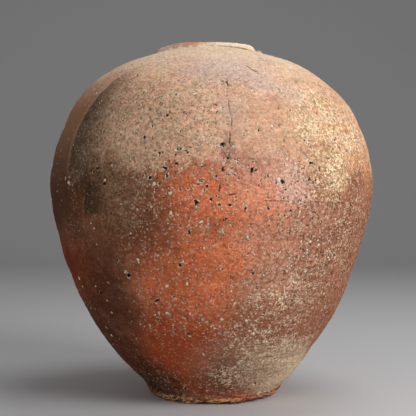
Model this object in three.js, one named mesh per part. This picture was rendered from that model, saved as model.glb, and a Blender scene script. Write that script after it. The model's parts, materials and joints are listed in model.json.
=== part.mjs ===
// A large stoneware storage jar, built by hand: a flat base disc, nine belts of coiled clay luted one on
// top of the other, a low collar round the mouth and a rolled lip on the collar. Fired, they hold as one.
// Millimetres, +Z up, the origin on the floor under the belly's centre, the photographed side towards -Y.
import * as THREE from 'three';

// Driving dimensions
const bellyRadius = 199;
const bellyHeight = 261;
const shoulderHeight = 420.5;
const wallThickness = 11;

const wallFootRadius = 71;
const wallFootAngle = 42.5;
const wallFootReach = 140;
const bellyFlatBelow = 43;
const bellyFlatAbove = 45;
const shoulderReach = 112;
const shoulderAngle = 10.5;

const discHeight = 17;
const discFloorRadius = 68;
const discEdgeRadius = 82;
const discEdgeHeight = 6.5;

const beltHeight = 44;
const beltSwellOutside = 0.8;
const beltSwellInside = 1.2;

const mouthRadius = 49.5;
const collarRootWidth = 14.5;
const collarWaistWidth = 9.5;
const collarHeight = 4.5;
const mouthEdgeRounding = 4;

const lipHeight = 5.8;
const lipSideHeight = 2.5;
const lipOverhang = 1.2;

// How far the hand pushed each joint out, from the lowest joint up, over and over.
const jointPush = [0.5, 1.6, -0.7, -1.1, 0.2, -0.5, -0.4, 1.8];

// What drying and firing did to the round shape.
const footShift = 4;
const footShiftTop = 78;
const mouthShift = -5;
const mouthShiftStart = 335;
const crownTilt = 0.012;
const crownTiltRun = 25;
const crownTiltEnd = 1;
const ovalShare = 0.003;
const threeLobeShare = -0.0022;
const lobeTurnHeight = 92;
const footLift = 3;
const footLiftAngle = -42;
const footLiftStart = 58;
const lipWave = 0.6;
const lipChipDepth = 2.6;
const lipChipAngle = -6;
const lipChipWidth = 7;

// Fineness of the faces
const segments = 56;
const rowsOutside = 3;
const rowsInside = 2;
const crownRows = 7;
const lipRows = 8;
const curveSteps = 40;

const rad = THREE.MathUtils.degToRad;
const { smoothstep } = THREE.MathUtils;
const collarRootRadius = mouthRadius + collarRootWidth;
const collarWaistRadius = mouthRadius + collarWaistWidth;

// The outside of the wall in the plane of radius and height: one curve up to the belly, one above it.
const lowerWall = new THREE.CubicBezierCurve(
  new THREE.Vector2(wallFootRadius, 0),
  new THREE.Vector2(
    wallFootRadius + wallFootReach * Math.cos(rad(wallFootAngle)),
    wallFootReach * Math.sin(rad(wallFootAngle)),
  ),
  new THREE.Vector2(bellyRadius, bellyHeight - bellyFlatBelow),
  new THREE.Vector2(bellyRadius, bellyHeight),
);
const shoulder = new THREE.CubicBezierCurve(
  new THREE.Vector2(bellyRadius, bellyHeight),
  new THREE.Vector2(bellyRadius, bellyHeight + bellyFlatAbove),
  new THREE.Vector2(
    collarRootRadius + shoulderReach * Math.cos(rad(shoulderAngle)),
    shoulderHeight - shoulderReach * Math.sin(rad(shoulderAngle)),
  ),
  new THREE.Vector2(collarRootRadius, shoulderHeight),
);

// The belts share the height between the disc and the shoulder's top evenly.
const beltCount = Math.max(2, Math.round((shoulderHeight - discHeight) / beltHeight));
const beltPitch = (shoulderHeight - discHeight) / beltCount;
const jointHeight = (k) => discHeight + k * beltPitch;

// A point of the wall at a depth under its outer face. t runs from 0 at the foot to 2 at the collar.
function wallPoint(t, depth) {
  const curve = t < 1 ? lowerWall : shoulder;
  const u = t < 1 ? t : t - 1;
  const tangent = curve.getTangent(u);
  return curve.getPoint(u).add(new THREE.Vector2(-tangent.y, tangent.x).multiplyScalar(depth));
}

// The t at which the wall, at that depth, reaches a height.
function wallParameter(height, depth) {
  let low = 0;
  let high = 2;
  for (let step = 0; step < curveSteps; step += 1) {
    const middle = (low + high) / 2;
    if (wallPoint(middle, depth).y < height) low = middle;
    else high = middle;
  }
  return (low + high) / 2;
}

// How far the hand pushed the wall out at a height, the belts' own swell left out.
function pushAt(height) {
  const k = THREE.MathUtils.clamp((height - discHeight) / beltPitch, 0, beltCount);
  const below = Math.min(Math.floor(k), beltCount - 1);
  const push = (joint) =>
    joint < 1 || joint >= beltCount ? 0 : jointPush[(joint - 1) % jointPush.length];
  return THREE.MathUtils.lerp(push(below), push(below + 1), k - below);
}

// One face of the wall between two heights, from the lower to the upper, as points of radius and height.
function wallFace(from, to, depth, swell, rows) {
  const start = wallParameter(from, depth);
  const end = wallParameter(to, depth);
  const points = [];
  for (let row = 0; row <= rows; row += 1) {
    const point = wallPoint(THREE.MathUtils.lerp(start, end, row / rows), depth);
    const share = (point.y - from) / (to - from);
    point.x += pushAt(point.y) + swell * Math.sin(Math.PI * THREE.MathUtils.clamp(share, 0, 1));
    points.push(point);
  }
  points[0].y = from;
  if (depth === 0 || to < shoulderHeight) points[rows].y = to;
  return points;
}

// Moves a round shape's points to where drying and firing left them. It is smooth over the whole jar and
// keeps every joint flat, so that neighbours still meet face to face.
function settle(point) {
  const radius = Math.hypot(point.x, point.y);
  const angle = Math.atan2(point.y, point.x);
  const { z } = point;
  const round =
    1 + ovalShare * Math.cos(2 * angle) + threeLobeShare * Math.cos(3 * angle + z / lobeTurnHeight);
  const shift =
    footShift * (1 - smoothstep(z, 0, footShiftTop)) +
    mouthShift * smoothstep(z, mouthShiftStart, shoulderHeight);
  point.x = radius * round * Math.cos(angle) + shift;
  point.y = radius * round * Math.sin(angle);

  const lifted = Math.max(0, Math.cos(angle - rad(footLiftAngle))) ** 2;
  const nearEdge = smoothstep(radius, footLiftStart, discEdgeRadius);
  point.z += footLift * lifted * nearEdge * (1 - smoothstep(z, 0, discHeight));

  const crownStart = jointHeight(beltCount - 1);
  const inCrown =
    smoothstep(z, crownStart, crownStart + crownTiltRun) *
    (1 - smoothstep(z, shoulderHeight - crownTiltEnd, shoulderHeight));
  point.z += crownTilt * point.x * inCrown;

  const lipShare = Math.max(0, (z - shoulderHeight - collarHeight) / lipHeight);
  const chipTurn = (angle - rad(lipChipAngle)) / rad(lipChipWidth);
  const wave = lipWave * (Math.cos(2 * angle + 1) + Math.cos(3 * angle));
  const chip = lipChipDepth * Math.exp(-chipTurn * chipTurn);
  point.z += lipShare * (crownTilt * point.x + wave - chip);
  return point;
}

// A ring or disc turned from an outline, settled, with its own colour.
function clayPiece(name, outline, colour) {
  const geometry = new THREE.LatheGeometry(outline, segments).rotateX(Math.PI / 2);
  const position = geometry.getAttribute('position');
  const point = new THREE.Vector3();
  for (let i = 0; i < position.count; i += 1) {
    settle(point.fromBufferAttribute(position, i));
    position.setXYZ(i, point.x, point.y, point.z);
  }
  geometry.computeVertexNormals();
  const clay = new THREE.MeshStandardMaterial({ color: colour, roughness: 0.9, metalness: 0 });
  const mesh = new THREE.Mesh(geometry, clay);
  mesh.name = name;
  return mesh;
}

const closed = (points) => [...points, points[0].clone()];

// The flat slab that the jar was begun on, with its worn edge standing a little proud of the wall.
function baseDisc() {
  const top = wallFace(discHeight, jointHeight(1), 0, 0, 1)[0];
  const bearing = discEdgeRadius - discFloorRadius;
  const outline = [
    new THREE.Vector2(0, 0),
    new THREE.Vector2(discFloorRadius / 2, 0),
    new THREE.Vector2(footLiftStart, 0),
    new THREE.Vector2(discFloorRadius, 0),
    new THREE.Vector2(discFloorRadius + bearing / 2, discEdgeHeight / 4),
    new THREE.Vector2(discFloorRadius + bearing * 0.85, discEdgeHeight * 0.6),
    new THREE.Vector2(discEdgeRadius, discEdgeHeight),
    new THREE.Vector2((discEdgeRadius + top.x) / 2 - 1, (discEdgeHeight + discHeight) / 2),
    top,
    new THREE.Vector2(discFloorRadius, discHeight),
    new THREE.Vector2(0, discHeight),
  ];
  return clayPiece('base_disc', outline, 0x8a5236);
}

// One belt of the wall between two joints.
function wallBelt(k) {
  const outside = wallFace(jointHeight(k), jointHeight(k + 1), 0, beltSwellOutside, rowsOutside);
  const inside = wallFace(
    jointHeight(k), jointHeight(k + 1), wallThickness, beltSwellInside, rowsInside,
  );
  const height = jointHeight(k + 0.5) / shoulderHeight;
  const colour = new THREE.Color(0x94472c).lerp(new THREE.Color(0xb98a68), smoothstep(height, 0.3, 0.9));
  return clayPiece(`wall_belt_${k + 1}`, closed([...outside, ...inside.reverse()]), colour);
}

// The last belt, which closes the shoulder in to the mouth.
function shoulderCrown() {
  const from = jointHeight(beltCount - 1);
  const outside = wallFace(from, shoulderHeight, 0, beltSwellOutside, crownRows);
  const inside = wallFace(from, shoulderHeight, wallThickness, 0, crownRows);
  const under = inside[crownRows];
  const outline = closed([
    ...outside,
    new THREE.Vector2(mouthRadius, shoulderHeight),
    new THREE.Vector2(mouthRadius, under.y + mouthEdgeRounding),
    new THREE.Vector2(mouthRadius + mouthEdgeRounding, under.y),
    ...inside.reverse(),
  ]);
  return clayPiece('shoulder_crown', outline, 0xb8906f);
}

// The low collar that stands round the mouth.
function mouthCollar() {
  const outline = closed([
    new THREE.Vector2(mouthRadius, shoulderHeight),
    new THREE.Vector2(collarRootRadius, shoulderHeight),
    new THREE.Vector2((collarRootRadius + 2 * collarWaistRadius) / 3, shoulderHeight + collarHeight / 3),
    new THREE.Vector2(collarWaistRadius, shoulderHeight + (collarHeight * 2) / 3),
    new THREE.Vector2(collarWaistRadius, shoulderHeight + collarHeight),
    new THREE.Vector2(mouthRadius, shoulderHeight + collarHeight),
  ]);
  return clayPiece('mouth_collar', outline, 0xc09c78);
}

// The rolled coil that finishes the mouth.
function lipCoil() {
  const seat = shoulderHeight + collarHeight;
  const middle = (mouthRadius + collarWaistRadius) / 2;
  const halfWidth = (collarWaistRadius - mouthRadius) / 2;
  const outline = [
    new THREE.Vector2(middle - halfWidth, seat),
    new THREE.Vector2(middle + halfWidth, seat),
  ];
  for (let row = 0; row <= lipRows; row += 1) {
    const turn = (Math.PI * row) / lipRows;
    outline.push(new THREE.Vector2(
      middle + (halfWidth + lipOverhang) * Math.cos(turn),
      seat + lipSideHeight + (lipHeight - lipSideHeight) * Math.sin(turn),
    ));
  }
  return clayPiece('lip_coil', closed(outline), 0xc79a78);
}

const jar = new THREE.Group();
jar.add(baseDisc());
for (let k = 0; k < beltCount - 1; k += 1) jar.add(wallBelt(k));
jar.add(shoulderCrown(), mouthCollar(), lipCoil());

export default jar;
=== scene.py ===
import json
import math
from functools import reduce

import bpy
import numpy as np
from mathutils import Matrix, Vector, kdtree


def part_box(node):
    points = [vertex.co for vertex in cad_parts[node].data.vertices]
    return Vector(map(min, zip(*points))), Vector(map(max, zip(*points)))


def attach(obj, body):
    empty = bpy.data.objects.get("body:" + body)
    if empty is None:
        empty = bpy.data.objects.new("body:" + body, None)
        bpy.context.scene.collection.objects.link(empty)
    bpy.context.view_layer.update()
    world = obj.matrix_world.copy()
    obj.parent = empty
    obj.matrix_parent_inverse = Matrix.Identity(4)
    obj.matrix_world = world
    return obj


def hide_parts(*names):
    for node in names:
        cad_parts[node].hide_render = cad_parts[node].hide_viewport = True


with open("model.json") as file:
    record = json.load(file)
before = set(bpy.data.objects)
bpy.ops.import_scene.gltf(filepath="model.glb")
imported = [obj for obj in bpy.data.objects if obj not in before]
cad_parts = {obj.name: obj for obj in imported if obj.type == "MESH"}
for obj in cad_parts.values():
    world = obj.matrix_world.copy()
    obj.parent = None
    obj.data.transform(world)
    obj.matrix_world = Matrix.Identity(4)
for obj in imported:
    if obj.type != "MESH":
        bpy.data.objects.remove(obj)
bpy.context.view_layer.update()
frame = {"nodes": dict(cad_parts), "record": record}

MM = 0.001

# The photograph's view: its frame in pixels, and the camera that saw it
PHOTO_SIZE = 416
PHOTO_FOCUS = 880
SENSOR = 36
CAMERA_PLACE = Vector((-4.2, -1111.3, 231.2)) * MM
SIGHT_STEPS = 200

# The wall's shape, as the solids have it
BELLY_RADIUS = 199 * MM
BELLY_HEIGHT = 261 * MM
WALL_THICKNESS = 11 * MM
WALL_FOOT_RADIUS = 71 * MM
WALL_FOOT_ANGLE = math.radians(42.5)
WALL_FOOT_REACH = 140 * MM
BELLY_FLAT_BELOW = 43 * MM
BELLY_FLAT_ABOVE = 45 * MM
SHOULDER_REACH = 112 * MM
SHOULDER_ANGLE = math.radians(10.5)
BELT_SWELL_OUTSIDE = 0.8 * MM
BELT_SWELL_INSIDE = 1.2 * MM
JOINT_PUSH = [0.5, 1.6, -0.7, -1.1, 0.2, -0.5, -0.4, 1.8]

DISC_FLOOR_RADIUS = 68 * MM
DISC_EDGE_RADIUS = 82 * MM
DISC_EDGE_HEIGHT = 6.5 * MM
COLLAR_ROOT_RADIUS = 64 * MM
MOUTH_RADIUS = 49.5 * MM
MOUTH_EDGE_ROUNDING = 4 * MM
LIP_HEIGHT = 5.8 * MM
LIP_SIDE_HEIGHT = 2.5 * MM
LIP_SEAT_RADIUS = 60.6 * MM

# What drying and firing did to the round shape, as the solids have it
FOOT_SHIFT = 4 * MM
FOOT_SHIFT_TOP = 78 * MM
MOUTH_SHIFT = -5 * MM
MOUTH_SHIFT_START = 335 * MM
CROWN_TILT = 0.012
CROWN_TILT_RUN = 25 * MM
CROWN_TILT_END = 1 * MM
OVAL_SHARE = 0.003
THREE_LOBE_SHARE = -0.0022
LOBE_TURN_HEIGHT = 92 * MM
FOOT_LIFT = 3 * MM
FOOT_LIFT_ANGLE = math.radians(-42)
FOOT_LIFT_START = 58 * MM
LIP_WAVE = 0.6 * MM
LIP_CHIP_DEPTH = 2.6 * MM
LIP_CHIP_ANGLE = math.radians(-6)
LIP_CHIP_WIDTH = math.radians(7)

# How fine the worked clay is
RINGS_STEP = 1.15 * MM
INSIDE_STEP = 6 * MM
FLAT_STEP = 6 * MM
COVERED_STEP = 8 * MM
EDGE_STEP = 0.9 * MM
COLLAR_STEP = 0.7 * MM
MOUTH_STEP = 1 * MM
TURN_STEPS = 1120
CROWN_TURN_STEPS = 800
RIM_TURN_STEPS = 560
LIP_TURN_STEPS = 28
CURVE_SAMPLES = 800
SHARP_EDGE = math.radians(62)
NEXT_TO_NOTHING = 0.01 * MM
WALL_NEARNESS = 0.3 * MM

# The joints' heights come from the frame
belt_names = sorted(name for name in frame["nodes"] if name.startswith("wall_belt_"))
joints = [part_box(belt_names[0])[0].z] + [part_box(name)[1].z for name in belt_names]
shoulder_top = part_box("mouth_collar")[0].z
collar_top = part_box("mouth_collar")[1].z
joints.append(shoulder_top)
disc_height = joints[0]


# The wall's curve
def curve_points(corners, shares):
    """Points of a cubic curve at the given shares of its way."""
    a, b, c, d = np.array(corners, float)
    s = shares[:, None]
    return (1 - s) ** 3 * a + 3 * (1 - s) ** 2 * s * b + 3 * (1 - s) * s ** 2 * c + s ** 3 * d


def wall_curve():
    """Radius and height of the wall's outside, from the foot up, and its outward direction."""
    shares = np.linspace(0, 1, CURVE_SAMPLES)
    lower = curve_points([
        (WALL_FOOT_RADIUS, 0),
        (WALL_FOOT_RADIUS + WALL_FOOT_REACH * math.cos(WALL_FOOT_ANGLE),
         WALL_FOOT_REACH * math.sin(WALL_FOOT_ANGLE)),
        (BELLY_RADIUS, BELLY_HEIGHT - BELLY_FLAT_BELOW),
        (BELLY_RADIUS, BELLY_HEIGHT),
    ], shares)
    upper = curve_points([
        (BELLY_RADIUS, BELLY_HEIGHT),
        (BELLY_RADIUS, BELLY_HEIGHT + BELLY_FLAT_ABOVE),
        (COLLAR_ROOT_RADIUS + SHOULDER_REACH * math.cos(SHOULDER_ANGLE),
         shoulder_top - SHOULDER_REACH * math.sin(SHOULDER_ANGLE)),
        (COLLAR_ROOT_RADIUS, shoulder_top),
    ], shares)
    points = np.vstack([lower, upper[1:]])
    along = np.gradient(points, axis=0)
    along /= np.linalg.norm(along, axis=1)[:, None]
    outward = np.stack([along[:, 1], -along[:, 0]], axis=1)
    return points, outward


wall, wall_outward = wall_curve()
wall_way = np.concatenate([[0], np.cumsum(np.linalg.norm(np.diff(wall, axis=0), axis=1))])


def hand_push(heights):
    """How far the hand pushed the wall out at these heights."""
    return np.interp(heights, joints, [0] + [push * MM for push in JOINT_PUSH] + [0])


def swell(heights):
    """The share of its full swell that each belt has at these heights."""
    belt = np.clip(np.searchsorted(joints, heights, side="right") - 1, 0, len(joints) - 2)
    low = np.array(joints)[belt]
    high = np.array(joints)[belt + 1]
    return np.sin(np.pi * np.clip((heights - low) / (high - low), 0, 1))


def wall_radius(heights):
    """The wall's outer radius at these heights, before firing moved it."""
    plain = np.interp(heights, wall[:, 1], wall[:, 0])
    return plain + hand_push(heights) + BELT_SWELL_OUTSIDE * swell(heights)


def ease(value, low, high):
    """0 below low, 1 above high, and a smooth run between them."""
    share = np.clip((value - low) / (high - low), 0, 1)
    return share * share * (3 - 2 * share)


def settle(points):
    """Moves a round shape's points to where drying and firing left them."""
    radius = np.hypot(points[:, 0], points[:, 1])
    angle = np.arctan2(points[:, 1], points[:, 0])
    z = points[:, 2]
    lobes = THREE_LOBE_SHARE * np.cos(3 * angle + z / LOBE_TURN_HEIGHT)
    out = radius * (1 + OVAL_SHARE * np.cos(2 * angle) + lobes)
    foot_shift = FOOT_SHIFT * (1 - ease(z, 0, FOOT_SHIFT_TOP))
    mouth_shift = MOUTH_SHIFT * ease(z, MOUTH_SHIFT_START, shoulder_top)
    x = out * np.cos(angle) + (foot_shift + mouth_shift)
    y = out * np.sin(angle)

    lifted = np.maximum(0, np.cos(angle - FOOT_LIFT_ANGLE)) ** 2
    near_edge = ease(radius, FOOT_LIFT_START, DISC_EDGE_RADIUS)
    height = z + FOOT_LIFT * lifted * near_edge * (1 - ease(z, 0, disc_height))

    crown_start = joints[-2]
    in_crown = ease(z, crown_start, crown_start + CROWN_TILT_RUN)
    in_crown = in_crown * (1 - ease(z, shoulder_top - CROWN_TILT_END, shoulder_top))
    height = height + CROWN_TILT * x * in_crown

    lip_share = np.maximum(0, (z - collar_top) / LIP_HEIGHT)
    chip = LIP_CHIP_DEPTH * np.exp(-(((angle - LIP_CHIP_ANGLE) / LIP_CHIP_WIDTH) ** 2))
    wave = LIP_WAVE * (np.cos(2 * angle + 1) + np.cos(3 * angle))
    height = height + lip_share * (CROWN_TILT * x + wave - chip)
    return np.stack([x, y, height], axis=1)


def wall_place(angle, height):
    """The point of the fired wall at an angle and a height."""
    radius = float(wall_radius(np.array([height]))[0])
    point = np.array([[radius * math.cos(angle), radius * math.sin(angle), height]])
    return Vector(settle(point)[0])


def seen_at(across, down):
    """The point of the wall that the photograph shows at a pixel."""
    half = PHOTO_SIZE / 2
    way = Vector(((across - half) / PHOTO_FOCUS, 1, (half - down) / PHOTO_FOCUS))

    def inside(distance):
        point = CAMERA_PLACE + way * distance
        height = min(max(point.z, disc_height), shoulder_top)
        centre = MOUTH_SHIFT * float(ease(np.array(height), MOUTH_SHIFT_START, shoulder_top))
        return math.hypot(point.x - centre, point.y) < float(wall_radius(np.array([height]))[0])

    middle = -CAMERA_PLACE.y
    nearest = middle - 1.1 * BELLY_RADIUS
    reaches = (nearest + (middle - nearest) * i / SIGHT_STEPS for i in range(SIGHT_STEPS + 1))
    return CAMERA_PLACE + way * next((reach for reach in reaches if inside(reach)), middle)


# The marks in the clay
LATTICE = 48
SPOT_REACH = 3 * MM
chance = np.random.default_rng(11)
lattice = chance.uniform(-1, 1, (LATTICE, LATTICE, LATTICE))


def cloud(points, cell, wide=1.0):
    """Smooth noise from -1 to 1 at these points. A wide of more than 1 stretches it level."""
    scaled = points / (cell * np.array([wide, wide, 1]))
    low = np.floor(scaled).astype(int)
    share = scaled - low
    share = share * share * (3 - 2 * share)
    value = np.zeros(len(points))
    for corner in np.ndindex(2, 2, 2):
        x, y, z = ((low + corner) % LATTICE).T
        value += lattice[x, y, z] * np.where(corner, share, 1 - share).prod(axis=1)
    return value


# Unevenness in layers: how high and how far apart in millimetres, and how many times longer level than
# upright. The hand left slow swells, patting, level wiping and a gritty skin.
HAND_MARKS = [(1.1, 85, 1), (0.55, 27, 1.6), (0.22, 3.4, 9), (0.34, 2.3, 1)]
LIP_WEAR = [(0.5, 5, 1), (0.35, 2, 1)]
FOOT_WEAR = [(1.7, 9, 1), (1.19, 4, 1), (1.53, 2.2, 5)]


def uneven(points, layers):
    """How high the clay stands at these points, layer upon layer."""
    return sum(high * MM * cloud(points, apart * MM, longer) for high, apart, longer in layers)


JOINT_DEPTH = 0.5 * MM
JOINT_WIDTH = 1.2 * MM
JOINT_BREAKS = 45 * MM


def joint_marks(points, heights):
    """The faint, broken grooves where one belt was luted to the next."""
    strength = np.clip(cloud(points, JOINT_BREAKS) * 2.6 - 0.25, 0, 1)
    deep = sum(np.exp(-(((heights - joint) / JOINT_WIDTH) ** 2)) for joint in joints[:-1])
    return -JOINT_DEPTH * strength * deep


# Stones and pits that the photograph shows clearly: across, down, and the radius in millimetres
named_pits = [
    (238, 163, 1.2), (243, 167, 1.3), (249, 166, 1.2), (256, 170, 1.3), (262, 174, 1.2), (268, 176, 1.3),
    (232, 168, 1.5), (226, 163, 1.4), (259, 186, 1.2), (266, 191, 1.2), (246, 190, 1.3), (201, 166, 1.5),
    (280, 92, 1.7), (256, 105, 1.3), (216, 105, 1.2), (239, 78, 1.3), (243, 86, 1.2), (176, 94, 1.5),
    (227, 96, 1.2), (228, 158, 1.4), (157, 152, 1.3), (165, 163, 1.4), (238, 158, 1.3), (213, 158, 1.2),
    (290, 110, 1.3), (304, 140, 1.3), (141, 118, 1.3), (152, 126, 1.4), (120, 145, 1.5), (131, 158, 1.4),
    (180, 265, 2.4), (219, 267, 2.0), (129, 275, 3.0), (157, 301, 2.7), (188, 334, 2.4),
    (201, 181, 2.6), (196, 202, 2.9), (283, 182, 3.1), (252, 171, 2.6), (165, 168, 2.6),
    (104, 183, 2.0), (70, 183, 2.6), (223, 170, 2.0), (261, 180, 1.6), (276, 182, 1.4),
    (167, 115, 2.0), (249, 121, 1.1), (248, 254, 1.5), (292, 301, 1.5), (126, 386, 2.0),
    (185, 389, 2.4), (193, 393, 2.2), (254, 383, 2.6), (211, 199, 1.8), (245, 209, 1.6),
    (246, 235, 1.8), (174, 297, 1.6), (113, 100, 2.0), (227, 81, 2.2), (223, 144, 2.8),
    (325, 101, 1.6), (319, 169, 2.2), (144, 137, 1.8), (219, 204, 1.6), (97, 168, 2.2),
    (93, 172, 1.6), (180, 189, 1.4), (230, 205, 1.4), (137, 76, 1.6), (108, 282, 1.6),
    (189, 232, 1.8), (239, 179, 1.6), (268, 208, 1.8), (214, 176, 1.6), (299, 171, 2.0),
]
named_stones = [
    (195, 94, 1.6), (154, 97, 2.0), (160, 101, 1.4), (251, 91, 1.8), (254, 92, 1.4), (258, 127, 1.4),
    (272, 127, 2.0), (208, 120, 1.5), (186, 131, 1.6), (199, 144, 1.6), (227, 133, 1.5), (219, 145, 1.9),
    (233, 146, 1.4), (246, 134, 1.3), (165, 131, 1.5), (137, 96, 1.6), (141, 105, 1.4), (183, 158, 1.6),
    (128, 112, 1.5), (110, 131, 1.4), (168, 110, 1.3), (175, 150, 1.5), (262, 145, 1.3), (284, 139, 1.5),
    (209, 227, 2.9), (222, 233, 2.4), (272, 126, 2.0), (154, 184, 2.2), (170, 193, 1.8),
    (155, 315, 2.0), (170, 316, 2.4), (203, 320, 2.2), (221, 319, 1.8), (247, 237, 1.8),
    (167, 286, 2.0), (182, 168, 1.6), (319, 245, 1.9), (332, 236, 1.6), (280, 299, 2.2),
    (204, 355, 2.2), (264, 275, 1.7), (281, 252, 1.5), (158, 168, 1.8), (145, 92, 2.0),
]

# The places along each crack, then its half width and its depth in millimetres
cracks = [
    ([(221, 80), (224, 82), (227, 82), (228, 86)], 0.6, 1.3),
    ([(227, 87), (227, 96), (229, 105), (230, 113)], 0.35, 0.8),
    ([(230, 114), (232, 119), (231, 130)], 0.4, 0.8),
    ([(230, 131), (230, 138), (229, 143)], 0.45, 0.9),
    ([(238, 158), (248, 158), (254, 159), (258, 163)], 0.4, 0.9),
    ([(232, 133), (239, 133)], 0.3, 0.5),
    ([(223, 143), (224, 147)], 0.6, 0.9),
    ([(243, 358), (255, 355), (266, 351), (276, 347)], 0.15, 0.45),
    ([(246, 66), (251, 69), (256, 72)], 0.6, 0.9),
    ([(229, 195), (236, 194)], 0.7, 1.2),
    ([(220, 185), (219, 191)], 0.7, 1.2),
    ([(98, 165), (106, 163), (114, 163), (121, 161)], 0.5, 0.7),
    ([(120, 81), (127, 82), (132, 79), (138, 76)], 0.5, 0.8),
    ([(142, 136), (145, 141)], 0.6, 0.9),
    ([(262, 201), (280, 201), (300, 201), (320, 202), (344, 203)], 0.4, 0.65),
    ([(206, 358), (225, 358), (244, 357)], 0.4, 0.6),
    ([(64, 236), (74, 238), (83, 236)], 0.4, 0.5),
]


def scatter(count, smallest, largest, odds):
    """Spots on the wall, thick where the odds are high, small ones more often than large."""
    tries = 12 * count
    ways = chance.uniform(np.interp(disc_height, wall[:, 1], wall_way), wall_way[-1], tries)
    heights = np.interp(ways, wall_way, wall[:, 1])
    angles = chance.uniform(0, 2 * math.pi, tries)
    radii = wall_radius(heights)
    places = settle(np.column_stack([radii * np.cos(angles), radii * np.sin(angles), heights]))
    kept = chance.random(tries) < odds(places) * radii / BELLY_RADIUS
    sizes = smallest + (largest - smallest) * chance.random(tries) ** 3
    return [(Vector(place), size * MM) for place, size in zip(places[kept][:count], sizes[kept][:count])]


STONES_THIN_FROM = 250 * MM
STONES_THIN_TO = 380 * MM
PIT_BAND_HEIGHT = 265 * MM
PIT_BAND_WIDTH = 50 * MM


def stone_odds(places):
    """Stones lie in cloudy drifts, thick on the belly and below, thin on the shoulder."""
    low = 1 - ease(places[:, 2], STONES_THIN_FROM, STONES_THIN_TO)
    return np.clip((0.45 + 0.55 * low) * (0.45 + 1.3 * cloud(places, 60 * MM)), 0.03, 1)


def pit_odds(places):
    """Pits lie thickest in the upper belly."""
    band = np.exp(-(((places[:, 2] - PIT_BAND_HEIGHT) / PIT_BAND_WIDTH) ** 2))
    return np.clip((0.1 + 0.9 * band) * (0.5 + 1.4 * cloud(places, 50 * MM)), 0.02, 1)


# How spots break up and pair, as shares of a spot's size
MAIN_PART = 0.8
CRUMBS = (0.6, 0.5)
CRUMB_REACH = 0.85
PAIR_SIZE = 0.8
PAIR_REACH = 1.7


def crumbled(spots):
    """Each spot broken into a main one and two smaller ones that touch it, so that none is round."""
    broken = []
    for place, size in spots:
        broken.append((place, size * MAIN_PART))
        for share in CRUMBS:
            aside = Vector(chance.normal(size=3)).normalized() * size * CRUMB_REACH
            broken.append((place + aside, size * share))
    return broken


def seen_spots(spots):
    """The places on the wall, and the sizes, of spots that the photograph shows."""
    return [(seen_at(across, down), size * MM) for across, down, size in spots]


def beside(place, size):
    """A chance place just beside a spot."""
    return place + Vector(chance.normal(size=3)).normalized() * size * PAIR_REACH


STONE_COUNT = 420
PIT_COUNT = 460
PAIRED_PIT = 1.5 * MM
stones = scatter(STONE_COUNT, 0.9, 1.9, stone_odds)
stones += seen_spots(named_stones)
pits = scatter(PIT_COUNT, 0.9, 2.0, pit_odds)
pits += seen_spots(named_pits)
stones += [(beside(place, size), size * PAIR_SIZE) for place, size in pits if size > PAIRED_PIT]
stones = crumbled(stones)
pits = crumbled(pits)


CRACK_STEP = 0.5 * MM
CRACK_SLOPE = 0.6 * MM


def crack_points(places):
    """Points close together along a crack, given its places in the photograph."""
    spots = [seen_at(x, y) for x, y in places]
    points = []
    for start, end in zip(spots, spots[1:]):
        steps = max(2, int((end - start).length / CRACK_STEP))
        points += [start.lerp(end, i / steps) for i in range(steps + 1)]
    return points


crack_lines = [(crack_points(places), wide * MM, deep * MM) for places, wide, deep in cracks]


# Turning and working the clay
def draw_outline(name, outline, closed):
    """Draws an outline of radius and height as a chain of edges, point by point."""
    bpy.ops.object.select_all(action="DESELECT")
    bpy.ops.mesh.primitive_plane_add(size=MM)
    piece = bpy.context.object
    piece.name = name
    piece.data.name = name
    bpy.ops.object.mode_set(mode="EDIT")
    bpy.ops.mesh.select_all(action="SELECT")
    bpy.ops.mesh.merge(type="CENTER")
    bpy.ops.transform.translate(value=(outline[0][0], 0, outline[0][1]))
    for (r0, z0), (r1, z1) in zip(outline, outline[1:]):
        bpy.ops.mesh.extrude_region_move(TRANSFORM_OT_translate={"value": (r1 - r0, 0, z1 - z0)})
    if closed:
        bpy.ops.object.mode_set(mode="OBJECT")
        for vertex in piece.data.vertices:
            vertex.select = vertex.index in (0, len(outline) - 1)
        bpy.ops.object.mode_set(mode="EDIT")
        bpy.ops.mesh.edge_face_add()
    return piece


def turned(name, outline, steps, closed=True):
    """A piece turned from an outline, with its doubles merged and its faces pointing out."""
    piece = draw_outline(name, outline, closed)
    bpy.ops.object.mode_set(mode="OBJECT")
    turn = piece.modifiers.new("turn", "SCREW")
    turn.axis = "Z"
    turn.steps = steps
    turn.render_steps = steps
    turn.use_merge_vertices = True
    turn.merge_threshold = NEXT_TO_NOTHING
    bpy.ops.object.modifier_apply(modifier=turn.name)
    bpy.ops.object.mode_set(mode="EDIT")
    bpy.ops.mesh.select_all(action="SELECT")
    bpy.ops.mesh.remove_doubles(threshold=NEXT_TO_NOTHING)
    bpy.ops.mesh.normals_make_consistent(inside=False)
    bpy.ops.object.mode_set(mode="OBJECT")
    bpy.ops.object.shade_smooth_by_angle(angle=SHARP_EDGE)
    return piece


def outward_directions(piece, points):
    """The way each point moves when the clay there is pushed out."""
    normals = np.empty(len(points) * 3)
    piece.data.vertex_normals.foreach_get("vector", normals)
    normals = normals.reshape(-1, 3)
    radius = np.hypot(points[:, 0], points[:, 1])
    height = points[:, 2]
    on_wall = (height >= disc_height - NEXT_TO_NOTHING) & (height <= shoulder_top + NEXT_TO_NOTHING)
    on_wall &= np.abs(radius - wall_radius(height)) < WALL_NEARNESS
    level = np.interp(height, wall[:, 1], wall_outward[:, 0])
    up = np.interp(height, wall[:, 1], wall_outward[:, 1])
    flat = points[:, :2] / np.maximum(radius, MM)[:, None]
    wall_way_out = np.column_stack([flat * level[:, None], up])
    return np.where(on_wall[:, None], wall_way_out, normals), on_wall


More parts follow.
